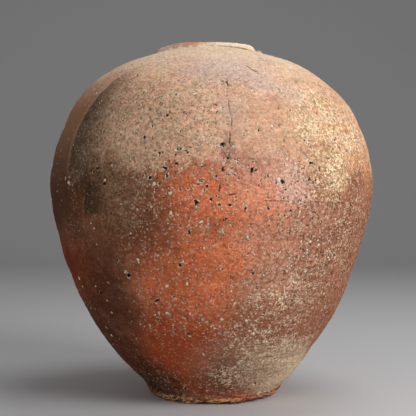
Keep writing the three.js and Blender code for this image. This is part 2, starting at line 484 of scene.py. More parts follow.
def near(tree, place, reach):
    """The points near a place, and how far away each is."""
    found = tree.find_range(place, reach)
    return np.array([index for _, index, _ in found], int), np.array([away for _, _, away in found])


def stone_lift(reach):
    """A stone stands a little proud, in a fine shrinkage gap."""
    top = 0.28 * (1 - np.minimum(reach, 1) ** 4)
    gap = -0.2 * np.exp(-(((reach - 1.2) / 0.2) ** 2))
    return np.where(reach < 1, top, gap)


def pit_lift(reach):
    """A pit has steep sides, a broken stone left in its middle, and clay pushed up a little round it."""
    hole = -0.75 * (1 - np.minimum(reach, 1) ** 3)
    core = 0.35 * ease(0.55 - reach, 0, 0.3)
    rim = 0.12 * np.exp(-(((reach - 1.25) / 0.2) ** 2))
    return np.where(reach < 1, hole + core, rim)


# A spot's ragged outline, how far it presses the clay, and how far from it points are looked for, as shares
# of its size. Marks beyond a piece's ends by more than the margin don't reach it.
SPOT_WOBBLE = 0.55
SPOT_PRESS = 1.6
SPOT_SEARCH = 1.5
MARK_MARGIN = 4 * MM


def press(tree, spots, wobble, lift, edge, shape):
    """Raises or lowers the clay at each spot, and keeps how far each point is from a spot's edge."""
    for place, size in spots:
        index, away = near(tree, place, size * SPOT_SEARCH + SPOT_REACH)
        if not len(index):
            continue
        away = away + SPOT_WOBBLE * size * wobble[index]
        lift[index] += size * shape(away / size) * (away < size * SPOT_PRESS)
        edge[index] = np.minimum(edge[index], away - size)


ROOT_RISE = 1.6 * MM
ROOT_RISE_WIDTH = 13 * MM
FULL_WEAR_INSET = 3 * MM
UNDERCUT = 0.5 * MM
UNDERCUT_HEIGHT = 1.2 * MM
UNDERCUT_INSET = 4 * MM
UNDERCUT_ANGLE = math.radians(-32)
UNDERCUT_WIDTH = math.radians(42)
FLARE = 4.5 * MM
FLARE_ANGLE = math.radians(-8)
FLARE_WIDTH = math.radians(38)
FLARE_FALL = 0.2
FLARE_LOST_ABOVE = 0.7
LUMP_PLACE = Vector((57.9, -40, 420.5)) * MM
LUMP_REACH = 4 * MM
LUMP_RISE = 3.4 * MM


def mouth_rise(points):
    """How far the clay round the mouth was drawn up towards the lip."""
    radius = np.hypot(points[:, 0], points[:, 1])
    near_mouth = np.exp(-(((radius - COLLAR_ROOT_RADIUS) / ROOT_RISE_WIDTH) ** 2))
    return ROOT_RISE * near_mouth * (1 - ease(points[:, 2], shoulder_top, collar_top))


def mouth_flare(points):
    """How far the collar and the lip lean out on the left, where the hand pulled them down."""
    radius = np.hypot(points[:, 0], points[:, 1])
    angle = np.arctan2(points[:, 1], -points[:, 0])
    on_left = np.exp(-(((angle - FLARE_ANGLE) / FLARE_WIDTH) ** 2))
    outside = ease(radius, MOUTH_RADIUS, LIP_SEAT_RADIUS)
    low = 1 - FLARE_LOST_ABOVE * ease(points[:, 2], collar_top, collar_top + LIP_HEIGHT)
    return FLARE * on_left * outside * low


def rim_marks(points, placed):
    """The lip's own wear: a groove under it on the right, and a rough, rubbed edge."""
    angle = np.arctan2(points[:, 1], points[:, 0])
    on_right = np.exp(-(((angle - UNDERCUT_ANGLE) / UNDERCUT_WIDTH) ** 2))
    under_lip = np.exp(-(((points[:, 2] - collar_top) / UNDERCUT_HEIGHT) ** 2))
    outside = np.hypot(points[:, 0], points[:, 1]) > MOUTH_RADIUS + UNDERCUT_INSET
    return uneven(placed, LIP_WEAR) - UNDERCUT * on_right * under_lip * outside


def foot_wear(points, placed):
    """The foot's broken, trodden edge."""
    radius = np.hypot(points[:, 0], points[:, 1])
    low = 1 - ease(points[:, 2], DISC_EDGE_HEIGHT, disc_height)
    out = ease(radius, DISC_FLOOR_RADIUS, DISC_EDGE_RADIUS - FULL_WEAR_INSET)
    return low * out * uneven(placed, FOOT_WEAR)


def draw_mouth(points, placed, on_wall, rim):
    """Draws the clay up towards the mouth, and the collar and lip out and down on the left."""
    placed[:, 2] += np.where(on_wall | rim, mouth_rise(points), 0)
    flare = np.where(rim & ~on_wall, mouth_flare(points), 0)
    flare_way = points[:, :2] / np.maximum(np.hypot(points[:, 0], points[:, 1]), MM)[:, None]
    placed[:, :2] += flare_way * flare[:, None]
    placed[:, 2] -= FLARE_FALL * flare * (1 - ease(points[:, 2], shoulder_top, collar_top))


def skin_lift(points, placed, on_wall, rim):
    """How far the skin stands out at each point, stones, pits and cracks left out."""
    foot = points[:, 2] < disc_height - NEXT_TO_NOTHING
    lift = np.where(on_wall, uneven(placed, HAND_MARKS) + joint_marks(placed, points[:, 2]), 0)
    lift = np.where(rim & ~on_wall, rim_marks(points, placed), lift)
    lift = np.where(foot, foot_wear(points, placed), lift)
    lump_away = np.linalg.norm(placed - np.array(LUMP_PLACE), axis=1)
    return lift + np.where(on_wall, LUMP_RISE * np.exp(-((lump_away / LUMP_REACH) ** 2)), 0)


def press_marks(placed, lift):
    """Presses stones, pits and cracks into the lift, and gives how far each point is from their edges."""
    tree = kdtree.KDTree(len(placed))
    for index, point in enumerate(placed):
        tree.insert(point, index)
    tree.balance()
    low = placed[:, 2].min() - MARK_MARGIN
    high = placed[:, 2].max() + MARK_MARGIN
    wobble = cloud(placed, 1.9 * MM) + 0.6 * cloud(placed, 4 * MM)
    edges = {name: np.full(len(placed), SPOT_REACH) for name in ("stone", "pit", "crack")}
    for name, spots, shape in (("stone", stones, stone_lift), ("pit", pits, pit_lift)):
        press(tree, [s for s in spots if low < s[0].z < high], wobble, lift, edges[name], shape)
    for line, wide, deep in crack_lines:
        away = np.full(len(placed), SPOT_REACH)
        for place in line:
            index, distance = near(tree, place, SPOT_REACH)
            away[index] = np.minimum(away[index], distance)
        lift -= deep * np.maximum(0, 1 - away / (wide + CRACK_SLOPE))
        edges["crack"] = np.minimum(edges["crack"], away - wide)
    return edges


def work(piece):
    """Settles a turned piece and works the hand's and the kiln's marks into it. How far each point is from
    a mark's edge, in millimetres, is kept in the piece for its colour."""
    points = np.empty(len(piece.data.vertices) * 3)
    piece.data.vertices.foreach_get("co", points)
    points = points.reshape(-1, 3)
    directions, on_wall = outward_directions(piece, points)
    rim = points[:, 2] > shoulder_top - NEXT_TO_NOTHING
    placed = settle(points)
    draw_mouth(points, placed, on_wall, rim)
    lift = skin_lift(points, placed, on_wall, rim)
    edges = press_marks(placed, lift)
    placed += directions * lift[:, None]
    placed[:, 2] = np.maximum(placed[:, 2], 0)
    piece.data.vertices.foreach_set("co", placed.ravel())
    piece.data.update()
    for name, away in edges.items():
        mark = piece.data.attributes.new(name, "FLOAT", "POINT")
        mark.data.foreach_set("value", np.array(away / MM, np.float32))


# The pieces' outlines, as lists of radius and height
def heights_between(low, high, step):
    """Heights from low to high, evenly spaced along the wall."""
    start, end = np.interp([low, high], wall[:, 1], wall_way)
    rows = max(3, round((end - start) / step))
    heights = np.interp(np.linspace(start, end, rows + 1), wall_way, wall[:, 1])
    heights[0] = low
    heights[-1] = high
    return heights


def inner_wall(low, high, bulge):
    """The wall's inside between two heights, from the lower up."""
    inner = wall - wall_outward * WALL_THICKNESS
    rising = np.maximum.accumulate(inner[:, 1])
    keep = np.concatenate([[True], np.diff(rising) > 0])
    start, end = np.interp([low, high], rising[keep], wall_way[keep])
    rows = max(3, round((end - start) / INSIDE_STEP))
    ways = np.linspace(start, end, rows + 1)
    radii = np.interp(ways, wall_way, inner[:, 0])
    heights = np.interp(ways, wall_way, inner[:, 1])
    share = np.clip((heights - low) / (high - low), 0, 1)
    radii = radii + hand_push(heights) + bulge * np.sin(np.pi * share)
    heights[0] = low
    return list(zip(radii, heights))


def belt_outline(low, high):
    """A belt of the wall: its outside from the lower joint up, then its inside back down."""
    heights = heights_between(low, high, RINGS_STEP)
    outside = list(zip(wall_radius(heights), heights))
    inside = inner_wall(low, high, BELT_SWELL_INSIDE)
    inside[-1] = (inside[-1][0], high)
    return outside + inside[::-1]


def crown_outline():
    """The last belt, closed in to the mouth with a rounded inner edge."""
    low = joints[-2]
    heights = heights_between(low, shoulder_top, RINGS_STEP)
    outside = list(zip(wall_radius(heights), heights))
    inside = inner_wall(low, shoulder_top - WALL_THICKNESS, 0)
    end_height = inside[-1][1]
    edge = [
        (MOUTH_RADIUS, shoulder_top),
        (MOUTH_RADIUS, end_height + MOUTH_EDGE_ROUNDING),
        (MOUTH_RADIUS + 0.3 * MOUTH_EDGE_ROUNDING, end_height + 0.3 * MOUTH_EDGE_ROUNDING),
        (MOUTH_RADIUS + MOUTH_EDGE_ROUNDING, end_height),
    ]
    return outside + edge + inside[::-1]


def line_points(start, end, step):
    """Points from start up to end, end left out, no further apart than step."""
    steps = max(1, math.ceil(math.dist(start, end) / step))
    return [tuple(np.array(start) + (np.array(end) - np.array(start)) * i / steps) for i in range(steps)]


def smooth_line(corners, step):
    """A line through these corners, drawn finely."""
    points = []
    for start, end in zip(corners, corners[1:]):
        points += line_points(start, end, step)
    return points + [corners[-1]]


def disc_outline():
    """The flat slab, from the middle of its underside round its worn edge to the middle of its top."""
    top_radius = float(wall_radius(np.array([disc_height]))[0])
    bearing = DISC_EDGE_RADIUS - DISC_FLOOR_RADIUS
    under = smooth_line([(0, 0), (FOOT_LIFT_START, 0), (DISC_FLOOR_RADIUS, 0)], FLAT_STEP)
    edge = smooth_line([
        (DISC_FLOOR_RADIUS, 0),
        (DISC_FLOOR_RADIUS + bearing * 0.6, DISC_EDGE_HEIGHT * 0.12),
        (DISC_FLOOR_RADIUS + bearing * 0.92, DISC_EDGE_HEIGHT * 0.42),
        (DISC_EDGE_RADIUS, DISC_EDGE_HEIGHT),
        ((DISC_EDGE_RADIUS + top_radius) / 2 - MM, (DISC_EDGE_HEIGHT + disc_height) / 2),
        (top_radius, disc_height),
    ], EDGE_STEP)
    top = smooth_line([(top_radius, disc_height), (0, disc_height)], COVERED_STEP)
    return under[:-1] + edge + top[1:]


def collar_outline():
    """The low collar, a shallow hollow on its outside."""
    tall = collar_top - shoulder_top
    narrowing = COLLAR_ROOT_RADIUS - LIP_SEAT_RADIUS
    outside = smooth_line([
        (COLLAR_ROOT_RADIUS, shoulder_top),
        (COLLAR_ROOT_RADIUS - 0.45 * narrowing, shoulder_top + tall * 0.28),
        (COLLAR_ROOT_RADIUS - 0.8 * narrowing, shoulder_top + tall * 0.62),
        (LIP_SEAT_RADIUS, collar_top),
    ], COLLAR_STEP)
    inside = smooth_line([(MOUTH_RADIUS, collar_top), (MOUTH_RADIUS, shoulder_top)], MOUTH_STEP)
    return outside + inside


def lip_outline():
    """The rolled lip: a flat seat on the collar, and a round top."""
    middle = (MOUTH_RADIUS + LIP_SEAT_RADIUS) / 2
    half = (LIP_SEAT_RADIUS - MOUTH_RADIUS) / 2
    side_top = collar_top + LIP_SIDE_HEIGHT
    turns = [math.pi * i / LIP_TURN_STEPS for i in range(LIP_TURN_STEPS + 1)]
    roll = [(middle + half * math.cos(turn), side_top + (LIP_HEIGHT - LIP_SIDE_HEIGHT) * math.sin(turn))
            for turn in turns]
    outer_side = smooth_line([(middle + half, collar_top), roll[0]], MOUTH_STEP)
    inner_side = smooth_line([roll[-1], (middle - half, collar_top)], MOUTH_STEP)
    return outer_side[:-1] + roll + inner_side[1:]


# The clay's material: colours first
def paint(red, green, blue):
    """A colour as paint charts give it, from 0 to 255, in the linear values that a material holds."""
    return tuple(
        (c / 255 / 12.92 if c <= 10 else ((c / 255 + 0.055) / 1.055) ** 2.4) for c in (red, green, blue)
    ) + (1,)


# The fired clay itself
BODY_CLAY = paint(158, 98, 70)
SHOULDER_CLAY = paint(231, 176, 145)
GOLD_CLAY = paint(218, 168, 124)
ORANGE_CLAY = paint(216, 154, 106)
FIRE_RED = paint(226, 126, 84)
DEEP_RED = paint(174, 78, 40)
SALMON = paint(244, 158, 122)
ROSE = paint(206, 150, 128)
ROSE_BROWN = paint(206, 146, 118)
OLIVE = paint(172, 144, 106)
UMBER = paint(84, 58, 42)
LEFT_BROWN = paint(114, 70, 48)
# The smooth band's brown, also used as painted shade at the lip's left end
BAND_BROWN_AND_SHADE = paint(162, 116, 86)
BAND_SHADE = paint(122, 86, 66)
EDGE_ORANGE = paint(120, 50, 20)
SIDE_BROWN = paint(88, 55, 37)
FOOT_RED = paint(182, 88, 54)
DARK_BROWN = paint(88, 46, 28)
BLACK_BROWN = paint(62, 34, 22)
# A scorched dark brown, deepened so that it is also painted shade at the lower left by the foot
SCORCH_AND_SHADE = paint(70, 32, 12)
RIGHT_BROWN = paint(164, 108, 80)
GREY_BROWN = paint(146, 118, 104)
SMOKE = paint(70, 55, 37)

# What fell on it in the kiln, and what shows where it wore
TAN_ASH = paint(236, 202, 168)
OLIVE_ASH = paint(204, 170, 134)
MOSS_ASH = paint(150, 120, 92)
CREAM_ASH = paint(250, 222, 180)
PALE_ASH = paint(240, 214, 188)
PINK_ASH = paint(236, 194, 174)
DUN_ASH = paint(196, 156, 130)
FOOT_ASH = paint(236, 210, 176)
BARE_BROWN = paint(142, 98, 72)
LILAC_BLOOM = paint(214, 192, 182)
SMEAR = paint(128, 98, 88)
WORN_EDGE = paint(238, 180, 124)
RUDDY_EDGE = paint(206, 132, 92)
WORN_LIP = paint(226, 116, 72)
LIP_CREAM = paint(252, 230, 202)
FELDSPAR = paint(255, 236, 208)
# Grey of stone, also used as painted shade under the lip's roll
GREY_STONE_AND_SHADE = paint(172, 160, 142)
SOOT = paint(62, 44, 34)
# Painted shade, near black, inside pits and cracks
HOLLOW_SHADE = paint(26, 20, 16)


class Value:
    """A value that runs through a material, with the operators that its maths needs."""

    def __init__(self, clay, socket):
        self.clay = clay
        self.socket = socket

    def maths(self, operation, *others):
        return self.clay.node("ShaderNodeMath", {"operation": operation}, {
            index: value for index, value in enumerate([self, *others])
        })

    def __add__(self, other):
        return self.maths("ADD", other)

    def __sub__(self, other):
        return self.maths("SUBTRACT", other)

    def __mul__(self, other):
        return self.maths("MULTIPLY", other)

    def __rsub__(self, other):
        return (self * -1) + other

    __radd__ = __add__
    __rmul__ = __mul__

    def at_least(self, other):
        return self.maths("MAXIMUM", other)

    def eased(self, low, high):
        """0 at low, 1 at high, and a smooth run between them."""
        return self.clay.node("ShaderNodeMapRange", {"interpolation_type": "SMOOTHSTEP"}, {
            "Value": self, "From Min": low, "From Max": high,
        })


class Clay:
    """A material in the making, with the noise that its colours share."""

    def __init__(self, name):
        self.material = bpy.data.materials.new(name)
        self.material.use_nodes = True
        self.tree = self.material.node_tree
        self.tree.nodes.clear()
        self.place = self.node("ShaderNodeTexCoord", {}, {}, "Object")
        self.across, self.depth, self.height = [self.apart(self.place, index) for index in range(3)]
        self.wandering = self.shaken(self.place, 45 * MM, 4, 35 * MM)
        self.wandering_height = self.apart(self.wandering, 2)
        self.crumpled = self.shaken(self.place, 1.8 * MM, 2, 2.2 * MM)

        # Fine grain, slow drift, level streaks and wiping, and from them ragged edges and the clay's grain
        level = self.vector("MULTIPLY", self.place, (1, 1, 9))
        self.fine = self.cloud(self.place, 2.0 * MM, 3, 0.65)
        self.drift = self.cloud(self.place, 14 * MM, 5, 0.65)
        self.streak = self.cloud(level, 30 * MM, 4, 0.65)
        self.wiping = self.cloud(level, 12 * MM, 3, 0.6)
        self.ragged = (self.drift - 0.5) * 0.8
        loose_place = self.vector("ADD", self.shaken(self.place, 3 * MM, 2, 2.5 * MM), (0.3, 0.2, 0.1))
        loose = self.apart(self.picks(loose_place, 1.7 * MM), 0)
        self.grain = loose * 0.66 + 0.17 + (self.fine - 0.5) * 0.5
        self.grain = self.grain + (self.drift - 0.5) * 1.1 + (self.streak - 0.5) * 0.8

    def node(self, kind, settings, inputs, output=0):
        """Adds a node with these settings, and gives the value that it puts out, if there is one."""
        node = self.tree.nodes.new(kind)
        for name, value in settings.items():
            setattr(node, name, value)
        for name, value in inputs.items():
            if isinstance(value, Value):
                self.tree.links.new(value.socket, node.inputs[name])
            else:
                node.inputs[name].default_value = value
        return Value(self, node.outputs[output]) if len(node.outputs) else None

    def vector(self, operation, *values, output=0):
        return self.node("ShaderNodeVectorMath", {"operation": operation}, dict(enumerate(values)), output)

    def cloud(self, place, cell, detail=2.0, rough=0.5):
        """Soft noise from 0 to 1, with features about a cell wide."""
        return self.node("ShaderNodeTexNoise", {}, {
            "Vector": place, "Scale": 1 / cell, "Detail": detail, "Roughness": rough,
        })

    def mix(self, share, under, over):
        """One colour laid over another."""
        return self.node("ShaderNodeMix", {"data_type": "RGBA"}, {0: share, 6: under, 7: over}, 2)

    def laid(self, colour, layers):
        """A colour with others laid over it in turn, each with how much of it shows."""
        for share, over in layers:
            colour = self.mix(share, colour, over)
        return colour

    def shaded(self, colour, tone):
        """A colour made lighter or darker: a tone of 1 leaves it as it is."""
        settings = {"data_type": "RGBA", "blend_type": "MULTIPLY"}
        return self.node("ShaderNodeMix", settings, {0: 1.0, 6: colour, 7: tone}, 2)

    def picks(self, place, cell):
        """Three chance numbers from 0 to 1 for every grain about a cell wide."""
        return self.node("ShaderNodeTexVoronoi", {}, {"Vector": place, "Scale": 1 / cell}, 1)

    def apart(self, place, index):
        """One of the three numbers of a place."""
        return self.node("ShaderNodeSeparateXYZ", {}, {0: place}, index)

    def patch(self, place, centre, wide, tall, soft, ragged=0.0):
        """1 inside an egg-shaped patch and 0 outside. Its half width and half height are in millimetres."""
        away = self.vector("SUBTRACT", place, tuple(centre))
        scaled = self.vector("MULTIPLY", away, (1 / (wide * MM), 1 / (wide * MM), 1 / (tall * MM)))
        return (self.vector("LENGTH", scaled, output=1) + ragged).eased(1 + soft, 1 - soft)

    def most(self, patches):
        """How much the clay lies in the strongest of these patches. Each ends with its own strength."""
        return reduce(Value.at_least, [
            self.patch(self.wandering, *patch) * strength for *patch, strength in patches
        ])

    def shaken(self, place, cell, detail, reach):
        """The same place, moved a chance way, so that what is laid out by it comes out uneven."""
        noise = {"Vector": place, "Scale": 1 / cell, "Detail": detail}
        chance_way = self.node("ShaderNodeTexNoise", {}, noise, 1)
        chance_way = self.vector("SUBTRACT", chance_way, (0.5, 0.5, 0.5))
        moved = self.node("ShaderNodeVectorMath", {"operation": "SCALE"}, {0: chance_way, "Scale": reach})
        return self.vector("ADD", place, moved)

    def mark(self, name):
        """A length in millimetres that the worked clay holds at each point."""
        return self.node("ShaderNodeAttribute", {"attribute_name": name}, {}, 2)


def round_the_wall(angle, height):
    """The place on the wall at an angle in degrees, where 90 is the back, and a height in millimetres."""
    return wall_place(math.radians(angle), height * MM)


# Patches of fired colour, three of them at the lower left partly painted shade: the place, half width and
# half height in millimetres, softness, colour, strength
fire_patches = [
    (seen_at(335, 250), 95, 120, 0.45, RIGHT_BROWN, 1.0),
    (seen_at(330, 130), 62, 66, 0.5, GOLD_CLAY, 0.6),
    (seen_at(356, 142), 50, 52, 0.6, ORANGE_CLAY, 0.75),
    (seen_at(212, 226), 78, 66, 0.45, FIRE_RED, 1.0),
    (seen_at(184, 285), 54, 66, 0.5, FIRE_RED, 0.95),
    (seen_at(175, 352), 52, 62, 0.6, DEEP_RED, 0.95),
    (seen_at(180, 272), 30, 26, 0.8, DEEP_RED, 0.4),
    (seen_at(274, 238), 36, 32, 0.7, ROSE_BROWN, 0.7),
    (seen_at(272, 282), 34, 26, 0.7, ROSE_BROWN, 0.6),
    (seen_at(310, 214), 36, 20, 0.8, ROSE_BROWN, 0.6),
    (seen_at(266, 188), 40, 24, 0.5, SALMON, 0.9),
    (seen_at(256, 169), 46, 13, 0.7, ROSE, 0.55),
    (seen_at(290, 181), 22, 18, 0.8, PINK_ASH, 0.3),
    (seen_at(358, 196), 26, 30, 0.6, RIGHT_BROWN, 1.0),
    (seen_at(75, 202), 30, 46, 0.8, SIDE_BROWN, 0.7),
    (seen_at(90, 148), 26, 30, 0.7, SMOKE, 0.5),
    (seen_at(98, 322), 44, 54, 0.5, DARK_BROWN, 0.85),
    (seen_at(100, 240), 26, 22, 0.6, LEFT_BROWN, 0.6),
    (seen_at(286, 368), 46, 30, 0.7, FOOT_ASH, 0.6),
    (seen_at(250, 364), 52, 26, 0.8, FOOT_ASH, 0.34),
    (seen_at(126, 215), 46, 56, 0.5, LEFT_BROWN, 0.75),
    (seen_at(160, 226), 30, 26, 0.7, LEFT_BROWN, 0.45),
    (seen_at(212, 226), 20, 14, 0.8, LEFT_BROWN, 0.35),
    (seen_at(102, 285), 40, 44, 0.6, LEFT_BROWN, 0.6),
    (seen_at(106, 300), 44, 66, 0.6, DARK_BROWN, 0.85),
    # The next three are partly the clay's own dark brown and partly painted shade at the lower left by the
    # foot
    (seen_at(128, 355), 40, 40, 0.6, DARK_BROWN, 0.85),
    (seen_at(154, 386), 34, 22, 0.5, BLACK_BROWN, 0.9),
    (seen_at(156, 377), 34, 22, 0.7, SCORCH_AND_SHADE, 0.6),
    (seen_at(208, 389), 22, 12, 0.7, DEEP_RED, 0.45),
    (seen_at(225, 375), 30, 30, 0.6, DARK_BROWN, 0.6),
    (round_the_wall(-165, 240), 72, 46, 0.6, SIDE_BROWN, 1.0),
    (round_the_wall(-163, 165), 62, 32, 0.8, EDGE_ORANGE, 1.0),
    (seen_at(248, 397), 34, 4, 0.5, FOOT_RED, 0.9),
    (seen_at(330, 325), 50, 30, 0.5, GREY_BROWN, 0.4),
    (round_the_wall(62, 240), 100, 80, 0.5, FIRE_RED, 0.9),
    (round_the_wall(120, 130), 80, 80, 0.5, DEEP_RED, 0.9),
    (round_the_wall(40, 110), 60, 60, 0.5, RIGHT_BROWN, 0.8),
    (round_the_wall(160, 230), 70, 90, 0.5, DARK_BROWN, 0.8),
    (round_the_wall(100, 300), 50, 26, 0.4, SALMON, 0.6),
]

# The colours that fade where the shoulder's pale clay begins
under_flame_line = (FIRE_RED, SALMON)

# Broken coverings of ash: the place, half width and half height, softness, colour, how much covers
ash_patches = [
    (seen_at(138, 130), 64, 62, 0.6, OLIVE_ASH, 0.5),
    (seen_at(118, 188), 42, 32, 0.6, MOSS_ASH, 0.6),
    (seen_at(118, 216), 40, 20, 0.8, MOSS_ASH, 0.55),
    (seen_at(268, 61), 15, 6, 0.6, MOSS_ASH, 0.5),
    (seen_at(328, 128), 54, 58, 0.6, CREAM_ASH, 0.44),
    (seen_at(300, 120), 18, 20, 0.8, CREAM_ASH, 0.46),
    (seen_at(298, 182), 28, 24, 0.8, PINK_ASH, 0.6),
    (seen_at(330, 176), 38, 36, 0.7, CREAM_ASH, 0.46),
    (seen_at(354, 140), 26, 50, 0.7, CREAM_ASH, 0.4),
    (seen_at(325, 250), 96, 70, 0.5, DUN_ASH, 0.3),
    (seen_at(290, 300), 66, 50, 0.8, DUN_ASH, 0.44),
    (seen_at(290, 296), 60, 40, 0.8, PALE_ASH, 0.26),
    (seen_at(250, 334), 50, 26, 0.7, PALE_ASH, 0.34),
    (seen_at(280, 298), 13, 9, 0.8, CREAM_ASH, 0.6),
    (seen_at(276, 308), 26, 10, 0.8, CREAM_ASH, 0.34),
    (seen_at(346, 226), 30, 60, 0.8, PALE_ASH, 0.24),
    (seen_at(278, 352), 54, 30, 0.7, FOOT_ASH, 0.5),
    (seen_at(180, 318), 60, 16, 0.6, PALE_ASH, 0.12),
    (seen_at(284, 372), 44, 34, 0.8, FOOT_ASH, 0.7),
    (seen_at(240, 374), 40, 34, 0.8, FOOT_ASH, 0.46),
    (seen_at(266, 368), 50, 30, 0.8, BARE_BROWN, 0.34),
    (seen_at(286, 380), 30, 16, 0.8, BARE_BROWN, 0.3),
    (round_the_wall(30, 330), 90, 60, 0.8, CREAM_ASH, 0.5),
    (round_the_wall(140, 330), 90, 60, 0.8, OLIVE_ASH, 0.5),
    (round_the_wall(70, 80), 90, 44, 1.0, FOOT_ASH, 0.36),
    (round_the_wall(96, 60), 50, 22, 1.0, DUN_ASH, 0.45),
    (round_the_wall(15, 190), 76, 90, 0.9, PALE_ASH, 0.4),
]

# Where the skin is smooth: the place, half width and half height in millimetres, softness, how smooth
smooth_patches = [
    (round_the_wall(-168, 235), 56, 60, 0.4, 1.0),
    (round_the_wall(-163, 165), 56, 50, 0.4, 1.0),
    (seen_at(112, 335), 60, 70, 0.5, 0.8),
    (seen_at(178, 356), 34, 34, 0.5, 0.5),
    (seen_at(262, 122), 44, 40, 0.7, 0.4),
]

# Where feldspar grains lie thick: the place, half width and half height in millimetres
grain_fields = [
    (seen_at(168, 195), 44, 34),
    (seen_at(218, 232), 44, 18),
    (seen_at(150, 285), 60, 34),
    (seen_at(182, 322), 66, 18),
    (seen_at(258, 322), 66, 40),
    (seen_at(325, 240), 56, 44),
    (seen_at(306, 284), 66, 44),
    (seen_at(352, 214), 34, 56),
    (seen_at(228, 376), 40, 26),
    (round_the_wall(30, 200), 60, 40),
    (round_the_wall(85, 150), 70, 36),
    (round_the_wall(130, 260), 60, 40),
    (round_the_wall(170, 130), 50, 40),
]

# Where painted shade makes grains fewer and fainter, where salt and pepper is strongest, and where the wall
# is dark
PAINTED_SHADE_PATCH = (seen_at(102, 275), 46, 66, 0.6)
SALTY_PATCH = (seen_at(330, 240), 90, 80, 0.6)
DARK_PATCH = (seen_at(96, 215), 40, 60, 0.6)

# Where a grey-lilac bloom lies: the place, half width and half height in millimetres, strength
blooms = [
    (seen_at(228, 68), 40, 22, 0.6),
    (seen_at(262, 82), 22, 14, 0.45),
    (seen_at(232, 112), 14, 22, 0.3),
    (seen_at(290, 96), 16, 14, 0.4),
]

# The smoke's edge on the left of the shoulder is a round arc: its middle and reach, seen from the front.
# Below it something stood against the jar and left a dark bar with a straight left side.
SMOKE_ARC_CENTRE = (-26 * MM, 268 * MM)
SMOKE_ARC_REACH = 138 * MM
SMOKE_ARC_FOOT = 262 * MM
BAR_LEFT = -140 * MM
BAR_TOP = 268 * MM
BAR_FOOT = 226 * MM

# The heights between which the shoulder's pale clay begins, and those for its ash. At the sides and behind
# both lines stray, by half of LINE_DROP at most.
FLAME_LINE = (262 * MM, 290 * MM)
ASH_LINE = (262 * MM, 315 * MM)
LINE_DROP = 220 * MM

# The lip's rubbed clay, then its brown left end, which is painted shade, the chipped lump beside it and the
# painted shade under its roll: the place, half width and half height in millimetres, softness, colour,
# strength
WORN_LIP_PLACE = Vector((-34, -50, 430)) * MM
lip_patches = [
    (Vector((-68, -8, 427)) * MM, 14, 6, 0.6, BAND_BROWN_AND_SHADE, 0.7),
    (LUMP_PLACE, 4.5, 3, 0.3, GREY_STONE_AND_SHADE, 0.8),
    (Vector((30, -52, 425)) * MM, 24, 1.6, 0.5, GREY_STONE_AND_SHADE, 0.4),
]


def line_drop(clay, cell):
    """How far a line round the shoulder hangs down or climbs at the sides and behind."""
    behind = clay.apart(clay.wandering, 1).eased(-140 * MM, 20 * MM)
    return (clay.cloud(clay.wandering, cell) - 0.5) * behind * LINE_DROP


def fired_colour(clay):
    """The smooth colour that the fire gave the clay, darkened by painted shade at the lower left by the
    foot.
    """
    flame_line = (clay.wandering_height + clay.ragged * 0.11 + line_drop(clay, 110 * MM)).eased(*FLAME_LINE)
    colour = clay.mix(flame_line, BODY_CLAY, SHOULDER_CLAY)
    for centre, wide, tall, soft, over, strength in fire_patches:
        share = clay.patch(clay.wandering, centre, wide, tall, soft, clay.ragged) * strength
        if over in under_flame_line:
            share = share * (1 - flame_line * 0.9)
        colour = clay.mix(share, colour, over)
    return colour


def washed(clay, colour, shoulder):
    """Washes of rose, olive and pale tan, strong on the shoulder and faint below."""
    wash = clay.cloud(clay.vector("MULTIPLY", clay.wandering, (1, 1, 2.2)), 40 * MM, 4, 0.6)
    paler = clay.cloud(clay.vector("MULTIPLY", clay.wandering, (1, 1, 1.8)), 24 * MM, 3, 0.6)
    return clay.laid(colour, [
        (wash.eased(0.5, 0.64) * (shoulder * 0.45 + 0.08), ROSE),
        (wash.eased(0.5, 0.36) * shoulder * 0.45, OLIVE),
        (paler.eased(0.52, 0.66) * shoulder * 0.6, TAN_ASH),
        (clay.streak.eased(0.5, 0.25) * shoulder * 0.5, OLIVE),
    ])


def dissolve(clay, cover):
    """Where a broken covering lies: 1 on it and 0 between, for how much of the clay it covers."""
    return (clay.grain + (cover - 0.5) * 1.3).eased(0.4, 0.6)


def add_ash(clay, colour, shoulder):
    """The fallen ash, broken up by the grain of the clay, and towards the mouth a pale cream that is partly
    painted light.
    """
    colour = clay.mix(dissolve(clay, shoulder * 0.5) * 0.55, colour, TAN_ASH)
    for centre, wide, tall, soft, over, cover in ash_patches:
        share = clay.patch(clay.wandering, centre, wide, tall, soft, clay.ragged)
        colour = clay.mix(dissolve(clay, share * cover) * 0.85, colour, over)
    combed = clay.patch(clay.wandering, seen_at(258, 362), 62, 36, 0.7) * clay.streak.eased(0.49, 0.4)
    # Paler towards the mouth: partly ash and partly painted light on the upward-facing top
    near_lip = clay.wandering_height.eased(370 * MM, 415 * MM)
    colour = clay.laid(colour, [(combed * 0.5, BARE_BROWN), (near_lip * 0.55, LIP_CREAM)])
    for centre, wide, tall, strength in blooms:
        bloom = clay.patch(clay.wandering, centre, wide, tall, 0.9, clay.ragged)
        colour = clay.mix(bloom * strength, colour, LILAC_BLOOM)
    smear = clay.patch(clay.place, seen_at(229, 148), 6, 14, 0.6, clay.ragged)
    return clay.mix(smear * 0.6, colour, SMEAR)


def smoke_arc(clay):
    """How far a place is from the middle of the smoke's arc, 1 being on it, and how far left it lies."""
    x = (clay.across - SMOKE_ARC_CENTRE[0]) * (1 / SMOKE_ARC_REACH)
    z = (clay.height - SMOKE_ARC_CENTRE[1]) * (1 / SMOKE_ARC_REACH)
    return (x * x + z * z).maths("SQRT") + clay.ragged * 0.03, (x * -1).eased(0.3, 0.8)


